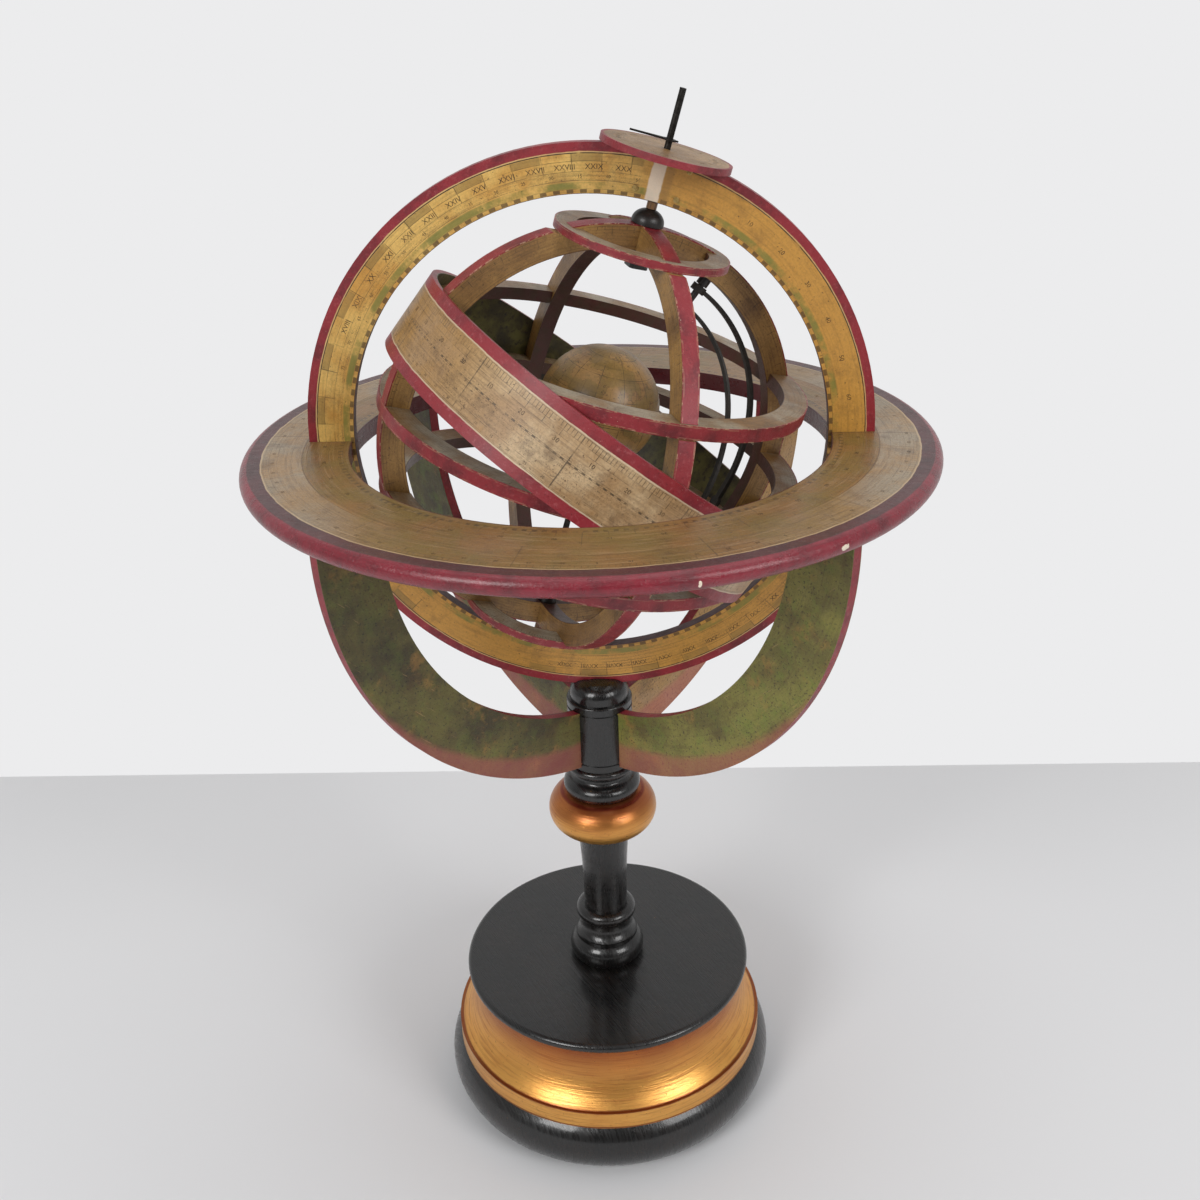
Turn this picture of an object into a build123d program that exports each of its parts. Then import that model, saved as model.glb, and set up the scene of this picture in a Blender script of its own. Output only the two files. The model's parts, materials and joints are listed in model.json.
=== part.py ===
"""Armillary sphere on a turned stand: papered rings, polar axis, earth globe, zodiac band.

Millimetres, +Z up. The origin is the middle of the base's underside. The horizon ring is
level, the meridian ring stands in the XZ plane, and the polar axis leans towards +X.
"""
from build123d import *
from math import cos, radians, sin, sqrt
import os

# Heights of the turned base, and its radii
foot_height = 32.0
cove_height = 45.0
base_top_thickness = 5.0
foot_radius = 92.5
foot_tread_inset = 12.5
foot_bulge_height = 15.5
foot_top_inset = 6.0
fillet_band_inset = 5.5
fillet_band_height = 10.5
cove_low_inset = 7.0
cove_high_inset = 17.0
cove_hollow = 5.5
base_top_inset = 12.5

# Turned column: foot roll, fillet, hollow neck, bead, tapering shaft
column_foot_radius = 20.8
column_foot_height = 13.0
column_foot_bulge_height = 5.0
column_foot_seat_radius = 19.2
column_foot_top_radius = 16.2
column_fillet_radius = 17.4
column_fillet_height = 2.0
column_neck_low_radius = 16.6
column_neck_high_radius = 13.4
column_neck_height = 10.0
column_neck_hollow = 1.6
bead_radius = 16.7
bead_height = 8.0
shaft_low_radius = 12.0
shaft_high_radius = 14.2
shaft_length = 53.5
shaft_hollow = 0.6
base_spigot_radius = 9.0
base_spigot_length = 80.0

# Gilt knop round the column's neck
knop_radius = 29.2
knop_height = 23.5
knop_seat_radius = 18.0

# Slotted post that carries the four arms and the meridian ring
bell_radius = 20.6
bell_seat_radius = 18.6
bell_top_radius = 17.0
bell_bulge_height = 4.2
bell_height = 9.0
post_neck_height = 5.2
post_neck_hollow = 1.8
collar_radius = 18.9
collar_height = 4.5
post_radius = 17.2
post_top_rise = 6.5
post_edge_round = 1.0
head_radius = 15.4
head_side_height = 2.5
head_shoulder_radius = 13.4
head_shoulder_drop = 3.0
head_button_radius = 7.0
head_button_drop = 0.5
head_height = 11.0
groove_depth = 0.5
groove_width = 1.2
groove_inset = 4.4
post_spigot_radius = 7.0
post_spigot_length = 38.0

# Four flat arms between the post and the horizon
arm_edge_inset = 7.2
arm_width = 32.0
arm_setback = 12.2
arm_thickness = 5.5
arm_tenon_start = 5.0
arm_turns = (-135.0, -45.0, 45.0, 135.0)
arm_names = ("front_left", "front_right", "back_right", "back_left")
arm_drop = 3.0
dowel_radius = 1.5
dowel_length = 14.0
dowel_inset = 16.0

# Horizon ring, which reaches past the meridian ring on both sides of its band
horizon_overhang = 30.0
horizon_inner_step = 1.5
horizon_thickness = 9.0
horizon_nosing_radius = 4.0

# Meridian ring, whose middle is the middle of the horizon's top face
meridian_gap = 10.5
meridian_width = 22.0
meridian_thickness = 6.0
polar_tilt = 16.0

# Hour circle on the north end of the axis
hour_circle_radius = 30.0
hour_circle_thickness = 3.0
hour_circle_groove = 2.0

# Polar axis
axis_radius = 1.5
north_rod_show = 26.0
north_boss_side = 9.0
north_boss_height = 8.0
north_boss_chamfer = 1.2
dome_bead_radius = 7.5
dome_bead_height = 7.0
dome_bead_rim = 1.0
sleeve_radius = 2.4
south_boss_radius = 5.0
south_boss_height = 8.0

# Hour hand: a thin pointed strip on the rod above the hour circle
hand_length = 18.0
hand_tail = 4.0
hand_width = 3.2
hand_thickness = 0.8
hand_eye_radius = 3.0
hand_tip_width = 0.6
hand_lift = 3.6

# Rings of the turning sphere
sphere_radius = 102.5
sphere_turn = 21.0
ring_depth = 11.5
ring_thickness = 6.2
colure_thickness = 8.0
polar_ring_depth = 10.0
polar_ring_thickness = 3.6
obliquity = 23.5
zodiac_proud = 1.5
zodiac_width = 38.0
zodiac_thickness = 3.0

# Earth globe, a little above the middle on the south rod
globe_radius = 29.0
globe_lift = 15.0
globe_bore_depth = 38.0

# Peg at the ecliptic pole, with the two curved arms that turn on it
peg_radius = 1.6
peg_shoulder_radius = 2.9
peg_shoulder_length = 4.0
peg_socket_depth = 4.0
peg_knob_radius = 3.0
peg_knob_height = 2.4
hub_radius = 3.6
hub_height = 3.4
sun_arm_gap = 6.0
sun_arm_width = 3.2
sun_arm_thickness = 2.0
sun_arm_turn = 2.8
moon_arm_step = 10.0
moon_arm_width = 2.4
moon_arm_thickness = 1.6
moon_arm_turn = -68.2
arm_sweep = 87.0
arm_tip_radius = 3.2

# Pins round the joint in the meridian ring, placed along and across from the middle of its band
pin_radius = 0.7
pin_head_radius = 1.3
pin_head_height = 0.7
pin_length = 4.0
pin_spots = ((-9.5, -7.0), (9.5, -7.5), (-8.0, 6.5), (12.0, 5.5))

# Fits
fit_clearance = 0.1
running_clearance = 0.05
sliding_clearance = 0.3

# Radii of the base, from its foot roll
foot_tread_radius = foot_radius - foot_tread_inset
foot_top_radius = foot_radius - foot_top_inset
fillet_band_radius = foot_radius - fillet_band_inset
cove_low_radius = foot_radius - cove_low_inset
cove_high_radius = foot_radius - cove_high_inset
base_top_radius = foot_radius - base_top_inset

# Radii of the rings, from the turning sphere outwards and inwards
sphere_inner_radius = sphere_radius - ring_depth
zodiac_radius = sphere_radius + zodiac_proud
zodiac_inner_radius = zodiac_radius - zodiac_thickness
meridian_inner_radius = sphere_radius + meridian_gap
meridian_radius = meridian_inner_radius + meridian_width
meridian_middle_radius = meridian_inner_radius + meridian_width / 2
horizon_inner_radius = meridian_inner_radius + horizon_inner_step
horizon_radius = meridian_radius + horizon_overhang
arm_outer_radius = horizon_radius - arm_edge_inset + arm_setback
sun_arm_radius = sphere_inner_radius - sun_arm_gap
moon_arm_radius = sun_arm_radius - moon_arm_step

# Heights that follow from the stack of turned pieces
base_height = foot_height + cove_height + base_top_thickness
foot_roll_top = base_height + column_foot_height
fillet_top = foot_roll_top + column_fillet_height
bead_base = fillet_top + column_neck_height
shaft_base = bead_base + bead_height
knop_base = shaft_base + shaft_length
post_base = knop_base + knop_height
bell_top = post_base + bell_height
collar_base = bell_top + post_neck_height
arm_floor = collar_base + collar_height
arm_inner_radius = arm_outer_radius - arm_width
arm_centre_height = arm_floor + sqrt(arm_outer_radius**2 - arm_setback**2)
arm_crown = arm_centre_height - sqrt(arm_inner_radius**2 - arm_setback**2)
head_base = arm_crown + post_top_rise
horizon_base = arm_centre_height + arm_drop
centre_height = horizon_base + horizon_thickness

centre = Vector(0, 0, centre_height)
hour_low = meridian_radius - hour_circle_groove
hour_top = hour_low + hour_circle_thickness
north_rod_top = hour_top + north_rod_show


def revolved(profile):
    """Solid of revolution about Z from a closed outline in the XZ plane."""
    return revolve(make_face(Plane.XZ * profile), Axis.Z)


def washer(outer, inner, thickness):
    """Flat ring about Z, its middle plane at z = 0."""
    return Cylinder(outer, thickness) - Cylinder(inner, thickness)


def rod(radius, low, high):
    """Round rod along Z between two heights."""
    return Pos(0, 0, (low + high) / 2) * Cylinder(radius, high - low)


def outline(*edges):
    """Edges joined end to end, closed by a straight line if they are open."""
    wire = Curve() + list(edges)
    start, end = edges[0] @ 0, edges[-1] @ 1
    if (start - end).length > 0.001:
        wire += Line(end, start)
    return wire


# Frames of the tilted rings: the polar axis and the ecliptic axis
polar_frame = Location(centre) * Rot(0, polar_tilt, 0)
sphere_frame = polar_frame * Rot(0, 0, sphere_turn)
ecliptic_frame = sphere_frame * Rot(0, obliquity, 0)
meridian_frame = Location(centre) * Rot(90, 0, 0)

nodes = {}

# Base: foot roll, gilt cove, top board, threaded on the column's spigot
base_bore = rod(base_spigot_radius + fit_clearance, 0, base_height)

foot_profile = outline(
    Line((0, 0), (foot_tread_radius, 0)),
    ThreePointArc(
        (foot_tread_radius, 0), (foot_radius, foot_bulge_height), (foot_top_radius, foot_height)
    ),
    Line((foot_top_radius, foot_height), (0, foot_height)),
)
nodes["base_foot"] = revolved(foot_profile) - base_bore

band_top = foot_height + fillet_band_height
cove_top = foot_height + cove_height
cove_profile = outline(
    Line((0, foot_height), (fillet_band_radius, foot_height)),
    Line((fillet_band_radius, foot_height), (fillet_band_radius, band_top)),
    Line((fillet_band_radius, band_top), (cove_low_radius, band_top)),
    SagittaArc((cove_low_radius, band_top), (cove_high_radius, cove_top), cove_hollow),
    Line((cove_high_radius, cove_top), (0, cove_top)),
)
nodes["base_cove"] = revolved(cove_profile) - base_bore

board_round = base_top_thickness / 2
board_edge = base_top_radius - board_round
board_profile = outline(
    Line((0, cove_top), (board_edge, cove_top)),
    ThreePointArc(
        (board_edge, cove_top), (base_top_radius, cove_top + board_round), (board_edge, base_height)
    ),
    Line((board_edge, base_height), (0, base_height)),
)
nodes["base_top"] = revolved(board_profile) - base_bore

# Column shaft, one turning from its spigot up to the knop
spigot_base = base_height - base_spigot_length
shaft_profile = outline(
    Line((0, spigot_base), (base_spigot_radius, spigot_base)),
    Line((base_spigot_radius, spigot_base), (base_spigot_radius, base_height)),
    Line((base_spigot_radius, base_height), (column_foot_seat_radius, base_height)),
    ThreePointArc(
        (column_foot_seat_radius, base_height),
        (column_foot_radius, base_height + column_foot_bulge_height),
        (column_foot_top_radius, foot_roll_top),
    ),
    Line((column_foot_top_radius, foot_roll_top), (column_fillet_radius, foot_roll_top)),
    Line((column_fillet_radius, foot_roll_top), (column_fillet_radius, fillet_top)),
    Line((column_fillet_radius, fillet_top), (column_neck_low_radius, fillet_top)),
    SagittaArc(
        (column_neck_low_radius, fillet_top), (column_neck_high_radius, bead_base), column_neck_hollow
    ),
    ThreePointArc(
        (column_neck_high_radius, bead_base),
        (bead_radius, bead_base + bead_height / 2),
        (column_neck_high_radius, shaft_base),
    ),
    Line((column_neck_high_radius, shaft_base), (shaft_low_radius, shaft_base)),
    SagittaArc((shaft_low_radius, shaft_base), (shaft_high_radius, knop_base), shaft_hollow),
    Line((shaft_high_radius, knop_base), (0, knop_base)),
)
post_spigot_base = post_base - post_spigot_length
shaft_socket = rod(post_spigot_radius + fit_clearance, post_spigot_base - fit_clearance, knop_base)
nodes["column_shaft"] = revolved(shaft_profile) - shaft_socket

# Gilt knop, a turned ring clamped between shaft and post
knop_middle = knop_base + knop_height / 2
knop_profile = outline(
    Line((0, knop_base), (knop_seat_radius, knop_base)),
    ThreePointArc(
        (knop_seat_radius, knop_base), (knop_radius, knop_middle), (knop_seat_radius, post_base)
    ),
    Line((knop_seat_radius, post_base), (0, post_base)),
)
knop_bore = rod(post_spigot_radius + fit_clearance, knop_base, post_base)
nodes["gilt_knop"] = revolved(knop_profile) - knop_bore

# Side view of an arm: a quarter of a flat ring, from the post up to its own middle
arm_circle = Pos(-arm_setback, arm_centre_height) * (Circle(arm_outer_radius) - Circle(arm_inner_radius))
quarter = Rectangle(arm_outer_radius, arm_outer_radius, align=(Align.MIN, Align.MAX))
arm_plate = Plane.XZ * (arm_circle & (Pos(arm_tenon_start, arm_centre_height) * quarter))

# Post: bell, hollow neck, collar, stout slotted cylinder with two turned lines, domed head
collar_middle = collar_base + collar_height / 2
head_top = head_base + head_height
post_profile = outline(
    Line((0, post_spigot_base), (post_spigot_radius, post_spigot_base)),
    Line((post_spigot_radius, post_spigot_base), (post_spigot_radius, post_base)),
    Line((post_spigot_radius, post_base), (bell_seat_radius, post_base)),
    ThreePointArc(
        (bell_seat_radius, post_base),
        (bell_radius, post_base + bell_bulge_height),
        (bell_top_radius, bell_top),
    ),
    SagittaArc((bell_top_radius, bell_top), (bell_top_radius, collar_base), post_neck_hollow),
    ThreePointArc(
        (bell_top_radius, collar_base), (collar_radius, collar_middle), (bell_top_radius, arm_floor)
    ),
    Line((bell_top_radius, arm_floor), (post_radius, arm_floor)),
    Line((post_radius, arm_floor), (post_radius, head_base - post_edge_round)),
    RadiusArc(
        (post_radius, head_base - post_edge_round),
        (post_radius - post_edge_round, head_base),
        -post_edge_round,
    ),
    Line((post_radius - post_edge_round, head_base), (head_radius, head_base)),
    Line((head_radius, head_base), (head_radius, head_base + head_side_height)),
    ThreePointArc(
        (head_radius, head_base + head_side_height),
        (head_shoulder_radius, head_top - head_shoulder_drop),
        (head_button_radius, head_top - head_button_drop),
    ),
    ThreePointArc(
        (head_button_radius, head_top - head_button_drop),
        (head_button_radius / 2, head_top - head_button_drop / 4),
        (0, head_top),
    ),
)
post = revolved(post_profile)
for groove_height in (arm_floor + groove_inset, head_base - groove_inset):
    post -= Pos(0, 0, groove_height) * washer(collar_radius, post_radius - groove_depth, groove_width)
slot_width = arm_thickness + 2 * fit_clearance
slot_start = arm_tenon_start - fit_clearance
slot_circle = Circle(arm_outer_radius) - Circle(arm_inner_radius - fit_clearance)
slot_circle = Pos(-arm_setback, arm_centre_height) * slot_circle
slot_outline = slot_circle & (Pos(slot_start, arm_centre_height) * quarter)
arm_slot = extrude(Plane.XZ * slot_outline, slot_width / 2, both=True)
for turn in arm_turns:
    post -= Rot(0, 0, turn) * arm_slot
meridian_room = Location(centre) * Rot(90, 0, 0) * washer(
    meridian_radius + sliding_clearance, meridian_inner_radius, meridian_thickness + 2 * sliding_clearance
)
nodes["slotted_post"] = post - meridian_room

# Arms: each runs straight up from its quarter ring to the horizon
arm_head = Rectangle(arm_width, arm_drop, align=Align.MIN)
arm_straight = Plane.XZ * (Pos(arm_inner_radius - arm_setback, arm_centre_height) * arm_head)
arm_blank = extrude(arm_plate, arm_thickness / 2, both=True)
arm_blank += extrude(arm_straight, arm_thickness / 2, both=True)
dowel_place = arm_outer_radius - arm_setback - dowel_inset
dowel_low = horizon_base - dowel_length / 2
dowel_high = dowel_low + dowel_length
dowel_spot = Pos(dowel_place, 0, 0)
dowel_hole = dowel_spot * rod(dowel_radius + fit_clearance, dowel_low - fit_clearance, dowel_high)
dowel = dowel_spot * rod(dowel_radius, dowel_low, dowel_high)
arm = arm_blank - dowel_hole
for name, turn in zip(arm_names, arm_turns):
    nodes["support_arm_" + name] = Rot(0, 0, turn) * arm
nodes["arm_dowels"] = Compound(children=[Rot(0, 0, turn) * dowel for turn in arm_turns])

# Horizon ring with a rounded nosing and two notches for the meridian
nosing_edge = horizon_radius - horizon_nosing_radius
horizon_profile = outline(
    Line((horizon_inner_radius, horizon_base), (nosing_edge, horizon_base)),
    ThreePointArc(
        (nosing_edge, horizon_base),
        (horizon_radius, horizon_base + horizon_thickness / 2),
        (nosing_edge, centre_height),
    ),
    Line((nosing_edge, centre_height), (horizon_inner_radius, centre_height)),
)
horizon = revolved(horizon_profile)
for side in (0, 180):
    notch_length = meridian_radius + sliding_clearance
    horizon -= Rot(0, 0, side) * Pos(0, 0, horizon_base) * Box(
        notch_length,
        meridian_thickness + 2 * sliding_clearance,
        horizon_thickness,
        align=(Align.MIN, Align.CENTER, Align.MIN),
    )
for turn in arm_turns:
    horizon -= Rot(0, 0, turn) * dowel_hole
nodes["horizon_ring"] = horizon

# Meridian ring, bored along the polar axis at both poles
meridian = meridian_frame * washer(meridian_radius, meridian_inner_radius, meridian_thickness)
axis_bore = polar_frame * rod(axis_radius + running_clearance, -north_rod_top, north_rod_top)
meridian -= axis_bore
pins = []
for along, across in pin_spots:
    pin_place = Pos(along, -meridian_thickness / 2, meridian_middle_radius + across)
    face = polar_frame * pin_place * Rot(90, 0, 0)
    pins.append(face * (rod(pin_radius, -pin_length, 0) + rod(pin_head_radius, 0, pin_head_height)))
    pin_hole_depth = pin_length + fit_clearance
    meridian -= face * rod(pin_radius + running_clearance, -pin_hole_depth, 0)
nodes["meridian_ring"] = meridian
nodes["meridian_pins"] = Compound(children=pins)

# Hour circle, let down a little over the meridian's rim
hour_disc = polar_frame * (
    rod(hour_circle_radius, hour_low, hour_top) - rod(axis_radius + running_clearance, hour_low, hour_top)
)
nodes["hour_circle"] = hour_disc - meridian_frame * Cylinder(meridian_radius, meridian_thickness)

# Axis: north rod turns with the sphere, south rod stands still and carries the globe
dome_top = sphere_radius + fit_clearance + dome_bead_height
sleeve_top = meridian_inner_radius - sliding_clearance
boss_top = sqrt(sphere_inner_radius**2 - north_boss_side**2 / 4) - fit_clearance
boss_base = boss_top - north_boss_height
bore = rod(axis_radius + running_clearance, -meridian_radius, meridian_radius)
nodes["north_axis_rod"] = polar_frame * rod(axis_radius, boss_base, north_rod_top)

dome_base = dome_top - dome_bead_height
dome_rim = dome_base + dome_bead_rim
dome_profile = outline(
    Line((0, dome_base), (dome_bead_radius, dome_base)),
    Line((dome_bead_radius, dome_base), (dome_bead_radius, dome_rim)),
    EllipticalCenterArc((0, dome_rim), dome_bead_radius, dome_top - dome_rim, arc_size=90),
)
nodes["north_dome_bead"] = polar_frame * (revolved(dome_profile) - bore)
nodes["north_sleeve"] = polar_frame * (rod(sleeve_radius, dome_top, sleeve_top) - bore)
boss_blank = Pos(0, 0, boss_base) * Box(
    north_boss_side, north_boss_side, north_boss_height, align=(Align.CENTER, Align.CENTER, Align.MIN)
)
boss = chamfer(boss_blank.edges().filter_by(Axis.Z), north_boss_chamfer)
nodes["north_boss"] = sphere_frame * (boss - bore)

south_rod_end = globe_lift - globe_radius + globe_bore_depth - sliding_clearance
nodes["south_axis_rod"] = polar_frame * rod(axis_radius, fit_clearance - meridian_radius, south_rod_end)
south_sleeve = rod(sleeve_radius, fit_clearance - meridian_inner_radius, -sphere_radius - sliding_clearance)
nodes["south_sleeve"] = polar_frame * (south_sleeve - bore)
south_boss_base = fit_clearance - sqrt(sphere_inner_radius**2 - south_boss_radius**2)
nodes["south_boss"] = sphere_frame * (
    rod(south_boss_radius, south_boss_base, south_boss_base + south_boss_height) - bore
)

globe = Sphere(globe_radius) - rod(
    axis_radius + running_clearance, -globe_radius, globe_bore_depth - globe_radius
)
nodes["earth_globe"] = polar_frame * Pos(0, 0, globe_lift) * globe

# Hour hand, pointing towards the low side of the hour circle
hand_base = hour_top + hand_lift
hand_sketch = (
    make_face(
        Polyline(
            (0, hand_width / 2),
            (-hand_length, hand_tip_width / 2),
            (-hand_length, -hand_tip_width / 2),
            (0, -hand_width / 2),
            close=True,
        )
    )
    + make_face(Polyline((0, -hand_width / 2), (hand_tail, 0), (0, hand_width / 2), close=True))
    + Circle(hand_eye_radius)
    - Circle(axis_radius + running_clearance)
)
nodes["hour_hand"] = polar_frame * Pos(0, 0, hand_base) * extrude(hand_sketch, hand_thickness)

# Turning sphere: where two rings cross, each gives up half its depth
zodiac_room = ecliptic_frame * washer(
    zodiac_radius + ring_depth, zodiac_inner_radius - fit_clearance, zodiac_width + 2 * fit_clearance
)
circle_table = {
    "arctic_ring": (90 - obliquity, polar_ring_depth, polar_ring_thickness),
    "tropic_of_cancer_ring": (obliquity, ring_depth, ring_thickness),
    "equator_ring": (0, ring_depth, ring_thickness),
    "tropic_of_capricorn_ring": (-obliquity, ring_depth, ring_thickness),
    "antarctic_ring": (obliquity - 90, polar_ring_depth, polar_ring_thickness),
}
colure_a = Rot(90, 0, 0) * washer(sphere_radius, sphere_inner_radius, colure_thickness)
colure_b = Rot(0, 90, 0) * washer(sphere_radius, sphere_inner_radius, colure_thickness)
lap_length = 2 * sphere_radius
lap_width = colure_thickness + 2 * fit_clearance
for name, (declination, depth, thickness) in circle_table.items():
    outer = sphere_radius * cos(radians(declination))
    middle = outer - depth / 2
    height = sphere_radius * sin(radians(declination))
    lap_cross = Box(lap_length, lap_width, thickness) + Box(lap_width, lap_length, thickness)
    ring = washer(outer, outer - depth, thickness) - (lap_cross & Cylinder(middle, thickness))
    lap_room = washer(outer + depth, middle - fit_clearance, thickness + 2 * fit_clearance)
    colure_a -= Pos(0, 0, height) * lap_room
    colure_b -= Pos(0, 0, height) * lap_room
    nodes[name] = sphere_frame * Pos(0, 0, height) * ring - zodiac_room

# The colures cross at the poles: the solstitial one lies outside, the equinoctial one inside
pole_middle = sphere_radius - ring_depth / 2
pole_lap = Box(lap_width, lap_width, ring_depth)
for side in (1, -1):
    colure_a -= Pos(0, 0, side * (pole_middle - ring_depth / 2)) * pole_lap
    colure_b -= Pos(0, 0, side * (pole_middle + ring_depth / 2 - fit_clearance)) * pole_lap
socket_base = sphere_inner_radius - fit_clearance
socket_top = socket_base + peg_socket_depth
peg_socket = Rot(0, obliquity, 0) * rod(peg_radius + running_clearance, socket_base, socket_top)
nodes["solstitial_colure"] = sphere_frame * (colure_a - bore - peg_socket) - zodiac_room
nodes["equinoctial_colure"] = sphere_frame * (colure_b - bore) - zodiac_room
nodes["zodiac_band"] = ecliptic_frame * washer(zodiac_radius, zodiac_inner_radius, zodiac_width)

# Peg at the ecliptic pole and the curved sun and moon arms on it
knob_top = moon_arm_radius - hub_height / 2 - running_clearance
knob_base = knob_top - peg_knob_height
shoulder_base = sphere_inner_radius - peg_shoulder_length
peg = rod(peg_radius, knob_base, sphere_inner_radius + peg_socket_depth - 2 * fit_clearance)
peg_shoulder = rod(peg_shoulder_radius, shoulder_base, sphere_inner_radius - fit_clearance)
nodes["ecliptic_peg"] = ecliptic_frame * (peg + peg_shoulder)
peg_bore = rod(peg_radius + running_clearance, 0, sphere_radius)
nodes["peg_knob"] = ecliptic_frame * (rod(peg_knob_radius, knob_base, knob_top) - peg_bore)


def curved_arm(radius, width, thickness):
    """Arm bent to an arc about the sphere's middle, with a bored hub and a round flat tip."""
    strip = Plane.YZ * Pos(0, radius) * Rectangle(width, thickness)
    bend = revolve(strip, Axis.Y, arm_sweep)
    tip = Rot(0, arm_sweep, 0) * Pos(0, 0, radius) * Cylinder(arm_tip_radius, thickness)
    hub = Pos(0, 0, radius) * Cylinder(hub_radius, hub_height)
    return bend + tip + hub - peg_bore


sun_arm = curved_arm(sun_arm_radius, sun_arm_width, sun_arm_thickness)
moon_arm = curved_arm(moon_arm_radius, moon_arm_width, moon_arm_thickness)
nodes["sun_arm"] = ecliptic_frame * Rot(0, 0, sun_arm_turn) * sun_arm
nodes["moon_arm"] = ecliptic_frame * Rot(0, 0, moon_arm_turn) * moon_arm

os.makedirs("parts", exist_ok=True)
for name, shape in nodes.items():
    export_step(shape, "parts/" + name + ".step")
print(len(nodes), "nodes, horizon top at", centre_height)
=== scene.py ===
"""Looks of the armillary sphere: papered rings with red rims, a lacquered stand and gilding."""
import json
from math import cos, pi, radians, sin
import bpy
from mathutils import Matrix, Vector


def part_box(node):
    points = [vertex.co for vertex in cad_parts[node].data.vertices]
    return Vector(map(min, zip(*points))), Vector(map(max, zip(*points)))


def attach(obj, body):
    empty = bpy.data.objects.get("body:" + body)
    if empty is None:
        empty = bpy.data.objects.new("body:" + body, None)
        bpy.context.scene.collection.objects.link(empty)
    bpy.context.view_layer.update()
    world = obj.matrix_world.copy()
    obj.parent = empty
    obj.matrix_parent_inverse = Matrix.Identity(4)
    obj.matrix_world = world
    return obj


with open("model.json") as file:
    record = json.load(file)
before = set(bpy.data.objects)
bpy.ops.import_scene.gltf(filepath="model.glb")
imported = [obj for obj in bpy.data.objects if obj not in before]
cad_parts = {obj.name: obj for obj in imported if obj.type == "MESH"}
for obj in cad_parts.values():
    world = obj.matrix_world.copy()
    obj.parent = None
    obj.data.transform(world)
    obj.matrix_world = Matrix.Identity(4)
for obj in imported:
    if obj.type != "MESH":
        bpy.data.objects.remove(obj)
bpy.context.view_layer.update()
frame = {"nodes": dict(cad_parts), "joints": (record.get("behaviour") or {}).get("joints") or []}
nodes = frame["nodes"]
joints = {joint["name"]: joint for joint in frame["joints"]}

MM = 0.001


# Places and directions, read from the frame

centre = Vector(joints["sphere_turn"]["pos_m"])
polar = Vector(joints["sphere_turn"]["axis"]).normalized()
ecliptic = Vector(joints["sun_arm_turn"]["axis"]).normalized()
equinox = polar.cross(ecliptic).normalized()
solstice = equinox.cross(polar).normalized()
up = Vector((0, 0, 1))
front = Vector((0, -1, 0))
right = Vector((1, 0, 0))
foot_middle = Vector((0, 0, 0))


def half_width(node):
    """Half of a node's largest extent, in millimetres."""
    low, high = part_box(node)
    return max(high - low) / 2 / MM


def reach(node, axis, origin):
    """Lowest and highest place of a node along an axis, in millimetres from an origin."""
    along = [(v.co - origin).dot(axis) / MM for v in nodes[node].data.vertices]
    return min(along), max(along)


def radii(node, axis, origin):
    """Inner and outer radius of a node about an axis, in millimetres."""
    spans = []
    for v in nodes[node].data.vertices:
        arm = v.co - origin
        spans.append((arm - axis * arm.dot(axis)).length / MM)
    return min(spans), max(spans)


# Colours, as they look under plain white light

def seen(red, green, blue):
    """A colour from 0 to 255 as it is seen, turned into what a shader takes."""
    parts = [part / 255 for part in (red, green, blue)]
    light = [part / 12.92 if part < 0.04 else ((part + 0.055) / 1.055) ** 2.4 for part in parts]
    return (*light, 1.0)


RED_PAINT = seen(146, 36, 46)
RED_RUBBED = seen(176, 84, 86)
RED_DARK = seen(86, 22, 30)
CRIMSON = seen(132, 24, 42)
CRIMSON_RUBBED = seen(158, 66, 76)
PURPLE_BAND = seen(84, 40, 42)
PURPLE_DARK = seen(52, 26, 28)
PURPLE_RUBBED = seen(112, 84, 80)
ZODIAC_RED_DARK = seen(112, 28, 38)
ZODIAC_RED_RUBBED = seen(184, 100, 104)
PAPER_YELLOW = seen(232, 190, 104)
PAPER_AMBER = seen(204, 150, 66)
PAPER_OCHRE = seen(176, 134, 74)
PAPER_TAN = seen(176, 140, 96)
PAPER_PALE = seen(212, 184, 144)
PAPER_GREY = seen(168, 154, 130)
PAPER_BROWN = seen(142, 104, 56)
PAPER_OLIVE = seen(128, 104, 52)
PAPER_GREEN = seen(112, 122, 52)
DIRT = seen(78, 54, 30)
INK = seen(34, 26, 20)
BARE_CARD = seen(238, 222, 200)
OLIVE_DARK = seen(60, 54, 26)
OLIVE = seen(104, 98, 44)
OLIVE_PAINTED_LIT = seen(138, 134, 62)
LEAF_GREEN = seen(106, 128, 44)
OCHRE_STAIN = seen(176, 126, 62)
BLACK = seen(11, 11, 11)
BLACK_BROWN = seen(30, 22, 18)
PAINTED_SHEEN_GREY = seen(52, 52, 48)
IRON = seen(52, 49, 46)
IRON_DARK = seen(30, 27, 25)
PAINTED_HIGHLIGHT_GOLD = seen(240, 178, 92)
GOLD = seen(216, 138, 66)
COPPER = seen(160, 88, 48)
BOLE_RED = seen(124, 40, 26)
BRASS = seen(206, 176, 112)


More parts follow.
